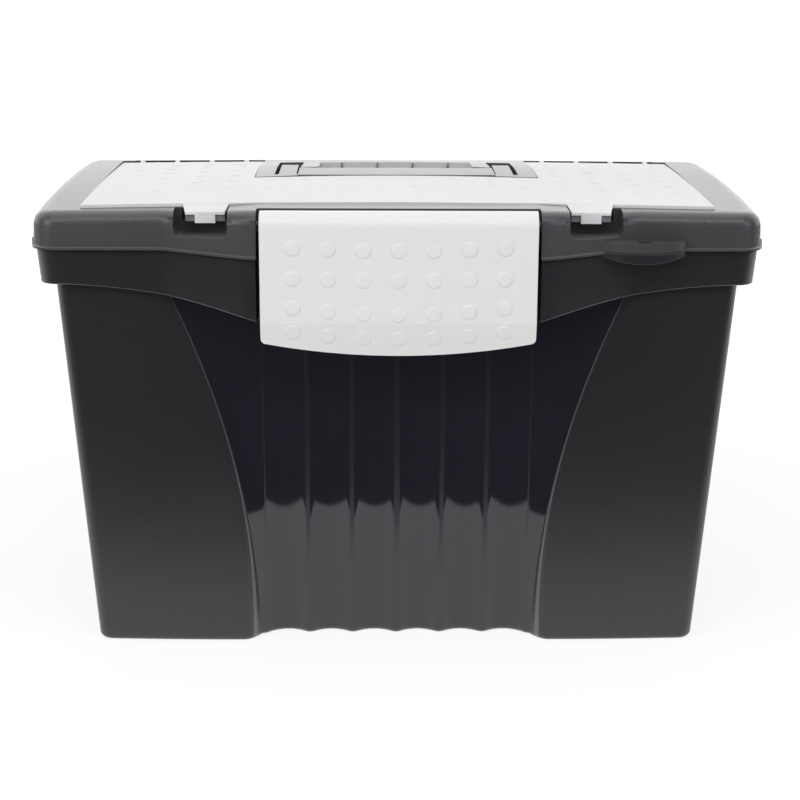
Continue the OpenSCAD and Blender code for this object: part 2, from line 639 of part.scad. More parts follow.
module lid_shell() color(BLACK) {
    difference() {
        union() {
            lid_skin();
            lid_blocks();
            both_sides() lid_hinge_arm();
            difference() {
                ear(lid_ear_z, lid_ear_t);
                translate([0, 0, lid_ear_z - 1]) linear_extrude(lid_ear_t + 2) polygon(closed(lid_half(-1)));
            }
        }
        // Wells, open upwards under the cover
        translate([0, 0, tray_z]) linear_extrude(past) well_plan();
        // Seat of the cover
        intersection() {
            translate([0, 0, seam_h]) linear_extrude(past) cover_plan(cover_gap);
            dome_slab(-cover_t - 0.15, past / 2);
        }
        // Swing room for the cover's back edge
        both_sides() plate(island_w / 2 - 0.2, cover_w / 2 + cover_gap, cover_back, cover_back + swing_room,
                           top_h - cover_t - 0.15, top_h + past);
        // Pocket of the handle
        plate(-grip_hw - 0.3, grip_hw + 0.3, -island_front, grip_back + grip_gap, pocket_z, top_h + past);
        both_sides() plate(grip_hw - 1, handle_w / 2 + handle_side_gap, -island_front + 8.5, pocket_back,
                           pocket_z, top_h + past);
        plate(-finger_hw, finger_hw, grip_back, pocket_back, pocket_z, top_h + past);
        both_sides() rod(grip_hw, handle_w / 2 + handle_side_gap + 3.4, handle_pivot_y, handle_axis_z,
                         handle_stub_r + run_gap);
        // Hollow under the island's side borders
        both_sides() plate(handle_w / 2 + handle_side_gap + 3.2, island_w / 2 - 0.2, -island_front + 2,
                           well_back - 3, seam_h - 5, top_h - 3);
        // Hollow under the handle's pocket
        plate(-handle_w / 2, handle_w / 2, -island_front + 2, pocket_back + 2, seam_h - 5, pocket_z - 2.4);
        // Latch bay
        plate(-bay_w / 2, bay_w / 2, -face_y - 20, -bay_back, seam_h - 20, top_h + past);
        both_sides() rod(bay_w / 2 - 5, bay_w / 2 + lid_wall + 2, -latch_axis_y, latch_axis_z,
                         latch_stub_r + run_gap);
        // Finger notches
        both_sides() translate([notch_x, -cover_front - 2.5, 0]) rotate([90, 0, 0]) linear_extrude(past)
            notch_plan();
        both_sides() plate(tab_x - tab_w / 2 - cover_gap, tab_x + tab_w / 2 + cover_gap,
                           -cover_front - 4, -cover_front + 1, top_h - 8, top_h + past);
        // Trough of the hooks
        both_sides() plate(hook_first - 5, hook_last + 5, cover_back - 2, rod_y + hook_r + 0.6,
                           rod_z - hook_r - 1, top_h + past);
        // Bores of the hinge pins
        both_sides() rod(hinge_x - knuckle_l, hinge_x + knuckle_l, hinge_y, hinge_z, pin_r + run_gap);
        // The lid's ear stays in front of the collar
        translate([0, 0, seam_h - 30]) linear_extrude(30 - eps)
            polygon(closed(collar_half(collar_out + 1, collar_bay, bay_w / 2)));
    }
    // Rods that the cover's hooks clip round, on webs between the hooks
    both_sides() {
        rod(hook_first - 6, hook_last + 6, rod_y, rod_z, rod_r);
        for (k = [0:2]) {
            xm = hook_first + (k + 0.5) * hook_pitch;
            plate(xm - 1, xm + 1, rod_y - 1.5, rod_y + 1.5, rod_z - hook_r - 2, rod_z);
        }
    }
    // Ribs on the back wall of the finger space
    for (k = [-1.5, -0.5, 0.5, 1.5])
        plate(k * 24 - 0.8, k * 24 + 0.8, pocket_back - 3, pocket_back + 1, pocket_z - 1, top_h + 2);
}

// Organizer cover: a U-shaped domed panel with snap hooks at the back and two finger tabs
module hook_profile() {
    difference() {
        union() {
            translate([rod_y, rod_z]) circle(r = hook_r, $fn = 48);
            translate([cover_back - 1.8, rod_z + 1]) square([rod_y - cover_back + 1.8, cover_t - 0.8]);
        }
        translate([rod_y, rod_z]) circle(r = rod_r + run_gap, $fn = 48);
        translate([rod_y, rod_z]) rotate(-90) translate([0, -rod_r * 0.8]) square([hook_r + 2, rod_r * 1.6]);
    }
}
// A finger tab: a plate that slopes forward from the cover, and a wall that hangs under it
module tab_profile(wall_y, wall_t, wall_h) {
    z0 = top_z(tab_x, -cover_front);
    y0 = -cover_front;
    y1 = y0 - tab_out;
    z1 = z0 - tab_fall;
    polygon([[y0 + 0.8, z0 - cover_t], [y0 + 0.8, z0], [y0 - 2, z0], [y1, z1], [y1, z1 - tab_t],
             [y1 + wall_y, z1 - tab_t], [y1 + wall_y, z1 - tab_t - wall_h],
             [y1 + wall_y + wall_t, z1 - tab_t - wall_h], [y1 + wall_y + wall_t, z1 - tab_t]]);
}
module organizer_cover() color(WHITE) {
    intersection() {
        translate([0, 0, seam_h]) linear_extrude(past) cover_plan(0);
        dome_slab(-cover_t, 0);
    }
    both_sides() {
        for (k = [0:3])
            along_x(hook_first + k * hook_pitch - hook_w / 2, hook_first + k * hook_pitch + hook_w / 2)
                hook_profile();
        along_x(tab_x - tab_w / 2, tab_x + tab_w / 2) tab_profile(1.2, tab_t, tab_wall_h - 1);
        along_x(tab_x - tongue_w / 2, tab_x + tongue_w / 2) tab_profile(0.2, tab_t + 1, tab_wall_h);
    }
}

// Carry handle: a grip bar on two arms that turn on moulded stubs
module grip_profile() {
    r = 4;
    z0 = grip_top - grip_t;
    y0 = -island_front + 0.5;
    polygon(concat(arc(y0 + r, z0 + r, r, 180, 270, arc_n),
                   arc(y0 + grip_d - r, z0 + r, r, 270, 360, arc_n),
                   arc(y0 + grip_d - 1.5, grip_top - 1.5, 1.5, 0, 90, 3),
                   arc(y0 + 1.5, grip_top - 1.5, 1.5, 90, 180, 3)));
}
module arm_profile() {
    y0 = -island_front + 9.2;
    translate([handle_pivot_y, handle_axis_z]) circle(r = handle_stub_r + 2.6, $fn = 48);
    polygon([[y0, grip_top - grip_t + 1], [y0, arm_top - 1], [y0 + 2, arm_top],
             [handle_pivot_y - 6, arm_top], [handle_pivot_y + 4, handle_axis_z + 5.4],
             [handle_pivot_y + 2, handle_axis_z - 5.4], [handle_pivot_y - 6, handle_axis_z - 5],
             [grip_back - 2, grip_top - grip_t + 1]]);
}
module carry_handle() color(GREY) {
    along_x(-grip_hw, grip_hw) grip_profile();
    both_sides() {
        difference() {
            along_x(grip_hw - 0.5, handle_w / 2) arm_profile();
            plate(grip_hw, grip_hw + groove_w, -island_front + 12, handle_pivot_y + 12,
                  grip_top - 6, top_h + past);
        }
        rod(handle_w / 2 - 1, handle_w / 2 + handle_side_gap + 3,
            handle_pivot_y, handle_axis_z, handle_stub_r);
    }
}

// Front latch: a wide shell with a rounded head, turning on stubs in the bay's cheeks
module latch_profile(r_in, low) {
    y_face = -latch_face + r_in;
    behind = -latch_axis_y + latch_head_r;
    translate([-latch_axis_y, latch_axis_z]) circle(r = latch_head_r - r_in, $fn = 72);
    polygon([[y_face, latch_axis_z], [y_face, crease_h],
             [y_face + lip_back * (crease_h - low) / (crease_h - latch_low), low],
             [behind, low], [behind, latch_axis_z]]);
}
module latch_shape() {
    drop = latch_corner_low - latch_low;
    hw = latch_w / 2;
    r = (hw * hw + drop * drop) / (2 * drop);
    a = asin(hw / r);
    top = latch_axis_z + latch_head_r + 5;
    polygon(concat([[-hw, top]], arc(0, latch_low + r, r, -90 - a, -90 + a, 24), [[hw, top]]));
}
module front_latch() color(WHITE) {
    behind = -latch_axis_y + latch_head_r;
    difference() {
        intersection() {
            along_x(-latch_w / 2, latch_w / 2) latch_profile(0, latch_low - 5);
            translate([0, -latch_face - 30, 0]) mirror([0, 1, 0]) rotate([90, 0, 0]) linear_extrude(80)
                latch_shape();
        }
        // Inside of the shell, open at the back below the head
        along_x(-latch_w / 2 + latch_t, latch_w / 2 - latch_t) latch_profile(latch_t, latch_low - 9);
        // The back of the head and the side flanges stop short of the bay
        plate(-latch_w, latch_w, -latch_axis_y - 1.5, behind + 5, latch_low - 20, latch_axis_z - 2);
    }
    both_sides()
        rod(latch_w / 2 - latch_t - 3, bay_w / 2 + lid_wall - 0.2,
            -latch_axis_y, latch_axis_z, latch_stub_r);
    // Catch that snaps under the collar's lower edge
    plate(-catch_w / 2, catch_w / 2, -latch_face + latch_t - 0.6, -collar_bay + catch_bite,
          apron_low - 4.5, apron_low - 0.6);
}

// Hinge pins
module hinge_pin() {
    hl = 1.5 * knuckle_l + knuckle_gap;
    rod(hinge_x - hl, hinge_x + hl, hinge_y, hinge_z, pin_r);
    rod(hinge_x + hl, hinge_x + hl + 1.2, hinge_y, hinge_z, pin_r + 1);
}
module lid_hinge_pin_left() color(GREY) mirror([1, 0, 0]) hinge_pin();
module lid_hinge_pin_right() color(GREY) hinge_pin();

box_tub();
lid_shell();
organizer_cover();
carry_handle();
front_latch();
lid_hinge_pin_left();
lid_hinge_pin_right();
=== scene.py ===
import math

import bmesh
import bpy
import numpy as np
from mathutils import Matrix, Vector


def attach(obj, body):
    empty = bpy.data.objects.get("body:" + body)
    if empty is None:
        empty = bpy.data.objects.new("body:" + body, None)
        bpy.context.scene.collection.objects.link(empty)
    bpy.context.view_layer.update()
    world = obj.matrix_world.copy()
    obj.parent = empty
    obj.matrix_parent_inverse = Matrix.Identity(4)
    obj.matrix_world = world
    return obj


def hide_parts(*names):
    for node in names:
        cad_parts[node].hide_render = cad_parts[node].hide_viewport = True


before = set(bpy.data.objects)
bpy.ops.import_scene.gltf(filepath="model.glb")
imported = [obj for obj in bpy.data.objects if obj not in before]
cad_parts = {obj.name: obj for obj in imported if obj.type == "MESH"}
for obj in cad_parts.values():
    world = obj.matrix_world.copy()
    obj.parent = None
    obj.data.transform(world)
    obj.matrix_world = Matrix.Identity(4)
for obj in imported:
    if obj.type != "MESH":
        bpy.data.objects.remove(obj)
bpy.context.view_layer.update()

# Camera, lamps and table
# The box stands on a pale table whose lit part ends a hand's width in front of it, under four soft
# lamps. The camera looks down at it from the front, as the fitted view of the photograph does.
# Glossy faces mirror a bright backdrop behind the box and a dark room in front of it.
camera_place = Vector((-0.015257, -1.15096, 0.436655))
camera_yaw = -0.016
camera_pitch = 0.259
camera_roll = 0.005
camera_lens = 80.665

level_right = Vector((math.cos(camera_yaw), math.sin(camera_yaw), 0))
level_front = Vector((-math.sin(camera_yaw), math.cos(camera_yaw), 0))
forward = level_front * math.cos(camera_pitch) - Vector((0, 0, math.sin(camera_pitch)))
upright = level_front * math.sin(camera_pitch) + Vector((0, 0, math.cos(camera_pitch)))
right = level_right * math.cos(camera_roll) + upright * math.sin(camera_roll)
up = upright * math.cos(camera_roll) - level_right * math.sin(camera_roll)
camera = bpy.data.objects.new("camera", bpy.data.cameras.new("camera"))
camera.matrix_world = Matrix.Translation(camera_place) @ Matrix((right, up, -forward)).transposed().to_4x4()
camera.data.lens = camera_lens
camera.data.sensor_width = 36
camera.data.clip_start = 0.01
bpy.context.collection.objects.link(camera)
bpy.context.scene.camera = camera
bpy.context.scene.view_settings.view_transform = "Standard"


def soft_lamp(name, place, target, width, height, power, colour):
    """A rectangular area lamp at a place, turned so that its face looks at a target."""
    lamp = bpy.data.lights.new(name, "AREA")
    lamp.shape = "RECTANGLE"
    lamp.size = width
    lamp.size_y = height
    lamp.energy = power
    lamp.color = colour
    obj = bpy.data.objects.new(name, lamp)
    look = Vector(target) - Vector(place)
    obj.matrix_world = Matrix.Translation(place) @ look.to_track_quat("-Z", "Y").to_matrix().to_4x4()
    bpy.context.collection.objects.link(obj)


soft_lamp("lamp_overhead", (0, -0.25, 1.7), (0, 0, 0.2), 1.3, 1.3, 4.5, (1.0, 1.0, 1.0))
soft_lamp("lamp_front", (0, -1.5, 1.7), (0, 0, 0.25), 2.6, 0.3, 11, (1.0, 0.99, 0.98))
soft_lamp("lamp_left", (-1.5, -1.3, 0.9), (0, 0, 0.15), 0.9, 0.9, 9.5, (1.0, 0.985, 0.95))
soft_lamp("lamp_right", (1.5, -1.3, 0.9), (0, 0, 0.15), 0.9, 0.9, 5.5, (0.78, 0.86, 1.0))


def node(tree, kind, **settings):
    """Adds one shader node. A setting named after an input, with blanks as underscores, fills that
    input, and any other setting is set on the node itself."""
    made = tree.nodes.new(kind)
    for key, value in settings.items():
        socket = made.inputs.get(key.replace("_", " "))
        if socket is not None and not hasattr(made, key):
            socket.default_value = value
        else:
            setattr(made, key, value)
    return made


def math_node(tree, operation, first, second):
    """Adds a Math node whose two inputs are numbers or sockets, and returns its result."""
    made = tree.nodes.new("ShaderNodeMath")
    made.operation = operation
    for socket, value in zip(made.inputs, (first, second)):
        if isinstance(value, (int, float)):
            socket.default_value = value
        else:
            tree.links.new(value, socket)
    return made.outputs[0]


def ramp_node(tree, value, low, high, low_result=0.0, high_result=1.0):
    """Maps a value from low..high to low_result..high_result with eased ends."""
    made = tree.nodes.new("ShaderNodeMapRange")
    made.interpolation_type = "SMOOTHSTEP"
    tree.links.new(value, made.inputs["Value"])
    for key, number in (("From Min", low), ("From Max", high),
                        ("To Min", low_result), ("To Max", high_result)):
        made.inputs[key].default_value = number
    return made.outputs["Result"]


backdrop_behind = 1.95
room_in_front = 0.05
sky_overhead = 0.55
plain_light = 0.45
backdrop_from = -0.15
backdrop_full = 0.35
sky_from = 0.35
sky_full = 0.9
world = bpy.data.worlds.new("studio")
bpy.context.scene.world = world
world.use_nodes = True
tree = world.node_tree
tree.nodes.clear()
direction = node(tree, "ShaderNodeTexCoord").outputs["Generated"]
parts = node(tree, "ShaderNodeSeparateXYZ")
tree.links.new(direction, parts.inputs[0])
behind = ramp_node(tree, parts.outputs["Y"], backdrop_from, backdrop_full, room_in_front, backdrop_behind)
overhead = ramp_node(tree, parts.outputs["Z"], sky_from, sky_full, 0, sky_overhead)
around = math_node(tree, "MAXIMUM", behind, overhead)
paths = node(tree, "ShaderNodeLightPath")
plain = math_node(tree, "MULTIPLY", paths.outputs["Is Diffuse Ray"], plain_light)
mirrored = math_node(tree, "MULTIPLY", paths.outputs["Is Glossy Ray"], around)
seen = math_node(tree, "ADD", mirrored, plain)
strength = math_node(tree, "ADD", seen, paths.outputs["Is Camera Ray"])
background = node(tree, "ShaderNodeBackground", Color=(1, 1, 1, 1))
tree.links.new(strength, background.inputs["Strength"])
tree.links.new(background.outputs[0], node(tree, "ShaderNodeOutputWorld").inputs["Surface"])

lit_depth = 0.246
lit_half_width = 1.5
lit_edge = 0.03
table_reach = 6.0
table_glow = 1.12
table_mirror = 1.75
shadow_share = 0.25
fade_start = 0.32
fade_end = 0.9
mesh = bpy.data.meshes.new("table")
mesh.from_pydata([(-table_reach, -table_reach, 0), (table_reach, -table_reach, 0),
                  (table_reach, table_reach, 0), (-table_reach, table_reach, 0)], [], [(0, 1, 2, 3)])
table = bpy.data.objects.new("table", mesh)
bpy.context.collection.objects.link(table)
material = bpy.data.materials.new("pale_table")
material.use_nodes = True
tree = material.node_tree
tree.nodes.clear()
paths = node(tree, "ShaderNodeLightPath")
lit = node(tree, "ShaderNodeBsdfDiffuse", Color=(0.86, 0.86, 0.86, 1))
mirrored = math_node(tree, "MULTIPLY", paths.outputs["Is Glossy Ray"], table_mirror - table_glow)
glow = node(tree, "ShaderNodeEmission", Color=(1, 1, 1, 1))
tree.links.new(math_node(tree, "ADD", mirrored, table_glow), glow.inputs["Strength"])
dark = node(tree, "ShaderNodeEmission", Color=(1, 1, 1, 1), Strength=room_in_front)
place = node(tree, "ShaderNodeTexCoord").outputs["Object"]
parts = node(tree, "ShaderNodeSeparateXYZ")
tree.links.new(place, parts.inputs[0])
away = node(tree, "ShaderNodeVectorMath", operation="LENGTH")
tree.links.new(place, away.inputs[0])
across = math_node(tree, "DIVIDE", parts.outputs["X"], lit_half_width)
depth = math_node(tree, "DIVIDE", math_node(tree, "MINIMUM", parts.outputs["Y"], 0.0), lit_depth)
reach = math_node(tree, "ADD", math_node(tree, "MULTIPLY", across, across),
                  math_node(tree, "MULTIPLY", depth, depth))
edge = ramp_node(tree, reach, 1 - lit_edge, 1 + lit_edge)
beyond = math_node(tree, "MULTIPLY", edge, paths.outputs["Is Glossy Ray"])
white_share = ramp_node(tree, away.outputs["Value"], fade_start, fade_end, 1 - shadow_share, 1)
bright = math_node(tree, "MAXIMUM", paths.outputs["Is Camera Ray"], paths.outputs["Is Glossy Ray"])
whiten = math_node(tree, "MULTIPLY", bright, white_share)
first = node(tree, "ShaderNodeMixShader")
tree.links.new(whiten, first.inputs["Fac"])
tree.links.new(lit.outputs[0], first.inputs[1])
tree.links.new(glow.outputs[0], first.inputs[2])
second = node(tree, "ShaderNodeMixShader")
tree.links.new(beyond, second.inputs["Fac"])
tree.links.new(first.outputs[0], second.inputs[1])
tree.links.new(dark.outputs[0], second.inputs[2])
tree.links.new(second.outputs[0], node(tree, "ShaderNodeOutputMaterial").inputs["Surface"])
mesh.materials.append(material)

# Tub
# One thin injection moulding of black polypropylene. Its faces have a fine leather grain, and the
# fluted recess in the front is left glossy. The collar swoops down behind the latch.
MM = 0.001
foot_w = 374
foot_d = 190
neck_w = 407
neck_d = 206
tub_wall = 2.8
tub_floor = 3
foot_r = 4
tub_corner_r = 8
front_swell = 2.2
flutes = 6
flute_pitch = 27.35
ridge_share = 0.125
blurred_share = 0.035
flute_depth_foot = 6.6
flute_depth_neck = 1.3
flute_fade = 2.5
recess_foot = 11.3
recess_neck = 3
recess_half_foot = 85.5
recess_half_neck = 138.5
recess_flare = 2.05
recess_fillet = 22
edge_roll = 1.2
edge_roll_foot = 9.5
edge_roll_most = 0.85
edge_roll_reach = 1.1
seam_h = 251.9
seam_dip = 2.4
collar_h = 21.2
apron_slope = 0.04
apron_fall = 0.0011
apron_reach = 41.2
apron_inset = 7
collar_step = 1.2
collar_taper = 1.8
collar_r = 1
rim_rise = 5.5
lid_w = 432.4
lid_d = 226
lid_wall = 2.4
rim_gap = 0.4
flange_out = 1
lid_corner_r = 14
side_bow = 2.2
bulge_out = 18
bulge_start = 138
bulge_full = 87
bay_w = 165
bay_depth = 11
skirt_hw = lid_w / 2 - flange_out
skirt_hd = lid_d / 2 - flange_out
collar_off = -lid_wall - rim_gap
collar_out = collar_off + collar_step
apron_low = seam_h - apron_reach
flute_hw = flutes * flute_pitch / 2
collar_bay = skirt_hd + bulge_out - bay_depth
rim_bay = 111.5
bay_step = 0.5


def eased(t, ease=0.14):
    """A clamped ramp from 0 to 1 whose two corners are rounded by parabolas of half width ease."""
    t = np.asarray(t, dtype=float)
    low = (t + ease) ** 2 / (4 * ease)
    high = 1 - (1 + ease - t) ** 2 / (4 * ease)
    return np.select([t < -ease, t < ease, t < 1 - ease, t < 1 + ease], [0 * t, low, t, high], 1.0)


def bulge_share(x):
    """How far the front bulges at x, from 0 outside bulge_start to 1 inside bulge_full."""
    return eased((bulge_start - np.abs(x)) / (bulge_start - bulge_full))


def rim_back(hw, hd, r, bow, corner=10, side=11, back=9):
    """Corner, side and corner of a rounded rectangle of half sizes hw and hd whose sides bow out by
    bow at mid depth as 1 - (y / hd)^2, then the back edge up to its middle."""
    a = np.radians(np.linspace(-90, 0, corner))
    front = np.stack([hw - r + r * np.cos(a), -hd + r + r * np.sin(a)], 1)
    y = np.linspace(-hd + r, hd - r, side)[1:-1]
    flank = np.stack([np.full_like(y, hw), y], 1)
    rear = front[::-1] * [1, -1]
    pts = np.concatenate([front, flank, rear])
    pts[:, 0] += bow * np.clip(1 - (pts[:, 1] / hd) ** 2, 0, 1)
    x = np.linspace(hw - r, 0, back)[1:]
    return np.concatenate([pts, np.stack([x, np.full_like(x, hd)], 1)])


def closed(half):
    """A whole outline from its right half, which runs from the middle of the front to the middle of
    the back."""
    return np.concatenate([half, half[-2:0:-1] * [-1, 1]])


flute_x = np.linspace(0, flute_hw, 91)
panel_share = np.concatenate([[0.1, 0.15, 0.24], np.linspace(0.32, 0.88, 9),
                              [0.93, 0.965, 0.985, 0.995, 1.0]])
collar_share = np.linspace(0.1, 1, len(panel_share) - 3)
roll_share = np.array([0.2, 0.45, 0.75, 1.0])
face_share = np.linspace(0, 1, 14)[1:-1]
neck_steps = 11


def body_half(z, inward):
    """Half outline of the tub below its collar at height z, set in by a wall. The flutes are
    parabolas whose ridges are rounded by smaller parabolas and which grow shallower upwards. The
    panel beside them ends in a hollow fillet along the edge of the recess, and the face rolls over
    that edge along a parabola."""
    k = z / (seam_h - collar_h)
    hw = foot_w / 2 + (neck_w - foot_w) / 2 * k - inward
    hd = foot_d / 2 + (neck_d - foot_d) / 2 * k - inward
    swell = front_swell * (1 - k / 2)
    front = hd + swell
    deep = recess_foot + (recess_neck - recess_foot) * k
    edge = recess_half_foot + (recess_half_neck - recess_half_foot) * max(k, 0) ** recess_flare
    roll = min(deep * edge_roll_most, edge_roll + (edge_roll_foot - edge_roll) * max(1 - k, 0) ** 3)
    face = edge + roll * edge_roll_reach
    f = flute_x / flute_pitch % 1
    near = np.minimum(f, 1 - f)
    on_ridge = (near < ridge_share) & (flute_x < flute_hw - flute_pitch / 2)
    ridge = 2 * ridge_share + 2 * (1 - 2 * ridge_share) / ridge_share * near ** 2
    fluted = flute_depth_neck + (flute_depth_foot - flute_depth_neck) * max(1 - k, 0) ** flute_fade
    comb = np.stack([flute_x, -front + deep + fluted * np.where(on_ridge, ridge, 4 * f * (1 - f))], 1)
    room = (edge - flute_hw) / recess_fillet
    sunk = (1 - (1 - np.minimum(room * (1 - panel_share), 1)) ** 2) / (1 - (1 - min(room, 1)) ** 2)
    panel = np.stack([flute_hw + (edge - flute_hw) * panel_share,
                      -front + roll + (deep - roll) * sunk], 1)
    over = np.stack([edge + (face - edge) * roll_share, -front + roll * (1 - roll_share) ** 2], 1)
    plain = np.stack([face + (hw - tub_corner_r - face) * face_share, -front + swell * face_share ** 2], 1)
    return np.concatenate([comb, panel, over, plain,
                           rim_back(hw, hd, tub_corner_r - inward * 0.5, side_bow * k)])


def collar_half(off, bay_y, bay_hw):
    """Half outline of the collar, moved out by off, with a step back to bay_y behind the latch. It
    has one station for each station of body_half."""
    flat = skirt_hw - lid_corner_r
    panel = np.concatenate([[bay_hw, bay_hw, bay_hw + bay_step],
                            bay_hw + 1 + (recess_half_neck - 3 - bay_hw) * collar_share])
    x = np.concatenate([flute_x, panel, recess_half_neck - 1.5 + 1.5 * roll_share,
                        recess_half_neck + (flat - recess_half_neck) * face_share])
    bulged = -skirt_hd - off - bulge_out * bulge_share(x)
    stepped = np.arange(len(x)) < len(flute_x) + 1
    inside_bay = np.where(stepped, -bay_y, bulged)
    inside_bay[len(flute_x) + 1] = -bay_y
    return np.concatenate([np.stack([x, inside_bay], 1),
                           rim_back(skirt_hw + off, skirt_hd + off, lid_corner_r + off, side_bow)])


def apron_z(p):
    """Height of the collar's lower edge at the points of an outline: level at the corners, falling
    towards the middle as a slope plus a square, and not below apron_low."""
    d = np.clip(neck_w / 2 - apron_inset - np.abs(p[:, 0]), 0, None)
    swoop = np.maximum(apron_low, seam_h - collar_h - apron_slope * d - apron_fall * d ** 2)
    return np.where(p[:, 1] > 0, seam_h - collar_h, swoop)


def seam_z(p):
    """Height of the seam between collar and lid at the points of an outline."""
    return seam_h - np.where(p[:, 1] < 0, seam_dip * bulge_share(p[:, 0]), 0)


neck_z = apron_z(closed(body_half(seam_h - collar_h, 0)))
edge_z = apron_z(closed(collar_half(collar_out, collar_bay, bay_w / 2)))


def body_ring(t, inward, rise):
    """The tub's outline at the share t of the height of its neck, which swoops as the collar does.
    Each point takes its place from the outline at its own height."""
    z = t * neck_z + rise
    levels = np.linspace(z.min(), z.max() + 1e-6, neck_steps + 1)
    outlines = np.stack([closed(body_half(level, inward)) for level in levels])
    place = (z - levels[0]) / (levels[-1] - levels[0]) * neck_steps
    low = np.clip(place.astype(int), 0, neck_steps - 1)
    share = (place - low)[:, None]
    column = np.arange(len(z))
    xy = outlines[low, column] * (1 - share) + outlines[low + 1, column] * share
    return np.column_stack([xy, z])


def flat_ring(z, inward):
    """The tub's outline in a level plane."""
    p = closed(body_half(z, inward))
    return np.column_stack([p, np.full(len(p), z)])


def collar_ring(off, bay_y, bay_hw, rise):
    """The collar's outline along its swooping lower edge."""
    p = closed(collar_half(off, bay_y, bay_hw))
    return np.column_stack([p, edge_z + rise])


def seam_ring(off, bay_y, bay_hw, rise):
    """The collar's outline along the seam."""
    p = closed(collar_half(off, bay_y, bay_hw))
    return np.column_stack([p, seam_z(p) + rise])


def surface(name, points, faces, materials, face_material=None, crease=35):
    """Puts points in millimetres and faces into a new object at the origin, smooth shaded but for
    edges sharper than crease degrees."""
    made = bpy.data.meshes.new(name)
    made.from_pydata((np.asarray(points) * MM).tolist(), [], faces)
    for entry in materials:
        made.materials.append(entry)
    if face_material is not None:
        made.polygons.foreach_set("material_index", np.asarray(face_material, dtype=np.int32))
    made.shade_smooth()
    made.set_sharp_from_angle(angle=math.radians(crease))
    made.update()
    obj = bpy.data.objects.new(name, made)
    bpy.context.collection.objects.link(obj)
    return obj


def stack_faces(rings, count):
    """Quads between neighbouring rings of a closed stack, ring by ring."""
    k, i = np.meshgrid(np.arange(rings - 1), np.arange(count), indexing="ij")
    j = (i + 1) % count
    quads = np.stack([k * count + i, k * count + j, (k + 1) * count + j, (k + 1) * count + i], -1)
    return quads.reshape(-1, 4)


def grain_group():
    """Fine moulded leather grain as a node group: cells and noise of a given size give the normal,
    and broad soft noise gives a mask for slight changes of colour and gloss."""
    made = bpy.data.node_groups.new("moulded_grain", "ShaderNodeTree")
    for title in ("Cell Size", "Depth"):
        made.interface.new_socket(title, in_out="INPUT", socket_type="NodeSocketFloat")
    made.interface.new_socket("Normal", in_out="OUTPUT", socket_type="NodeSocketVector")
    made.interface.new_socket("Mottle", in_out="OUTPUT", socket_type="NodeSocketFloat")
    enter = made.nodes.new("NodeGroupInput")
    leave = made.nodes.new("NodeGroupOutput")
    place = node(made, "ShaderNodeTexCoord").outputs["Object"]
    scale = math_node(made, "DIVIDE", 1.0, enter.outputs["Cell Size"])
    cells = node(made, "ShaderNodeTexVoronoi", feature="SMOOTH_F1", Smoothness=0.4)
    made.links.new(place, cells.inputs["Vector"])
    made.links.new(scale, cells.inputs["Scale"])
    fine = node(made, "ShaderNodeTexNoise", Detail=2.0)
    made.links.new(place, fine.inputs["Vector"])
    made.links.new(math_node(made, "MULTIPLY", scale, 0.7), fine.inputs["Scale"])
    height = math_node(made, "ADD", cells.outputs["Distance"], fine.outputs["Fac"])
    bump = node(made, "ShaderNodeBump", Strength=1.0)
    made.links.new(math_node(made, "MULTIPLY", height, enter.outputs["Depth"]), bump.inputs["Height"])
    bump.inputs["Distance"].default_value = 1.0
    made.links.new(bump.outputs["Normal"], leave.inputs["Normal"])
    broad = node(made, "ShaderNodeTexNoise", Scale=9.0, Detail=3.0)
    made.links.new(place, broad.inputs["Vector"])
    made.links.new(broad.outputs["Fac"], leave.inputs["Mottle"])
    return made


moulded_grain = grain_group()


def plastic(name, colour, roughness, cell=0.0009, depth=0.00006, change=0.12):
    """Moulded plastic: a base colour that varies slightly, a roughness that follows the grain, and
    the grain's bump."""
    made = bpy.data.materials.new(name)
    made.use_nodes = True
    tree = made.node_tree
    shader = tree.nodes["Principled BSDF"]
    grain = tree.nodes.new("ShaderNodeGroup")
    grain.node_tree = moulded_grain
    grain.inputs["Cell Size"].default_value = cell
    grain.inputs["Depth"].default_value = depth
    tree.links.new(grain.outputs["Normal"], shader.inputs["Normal"])
    mix = node(tree, "ShaderNodeMix", data_type="RGBA")
    mix.inputs["A"].default_value = [c * (1 - change) for c in colour] + [1]
    mix.inputs["B"].default_value = [c * (1 + change) for c in colour] + [1]
    tree.links.new(grain.outputs["Mottle"], mix.inputs["Factor"])
    tree.links.new(mix.outputs["Result"], shader.inputs["Base Color"])
    rough = ramp_node(tree, grain.outputs["Mottle"], 0.3, 0.7, roughness * 0.95, roughness * 1.05)
    tree.links.new(rough, shader.inputs["Roughness"])
    return made


# The faces are grained, the recess is glossy, its ridges are slightly dulled, and the collar's lower
# edge and the edge of the recess carry a pale painted highlight for the light lines they catch.
textured_black = plastic("textured_black", (0.0185, 0.0172, 0.021), 0.40)
gloss_black = plastic("gloss_black", (0.0155, 0.0138, 0.021), 0.06, cell=0.012, depth=0.000012)
softened_black = plastic("softened_black", (0.019, 0.0175, 0.024), 0.25)
# Painted highlight: a pale black that stands in for the light caught along rounded edges.
painted_highlight_black = plastic("painted_highlight_black", (0.12, 0.117, 0.122), 0.34)

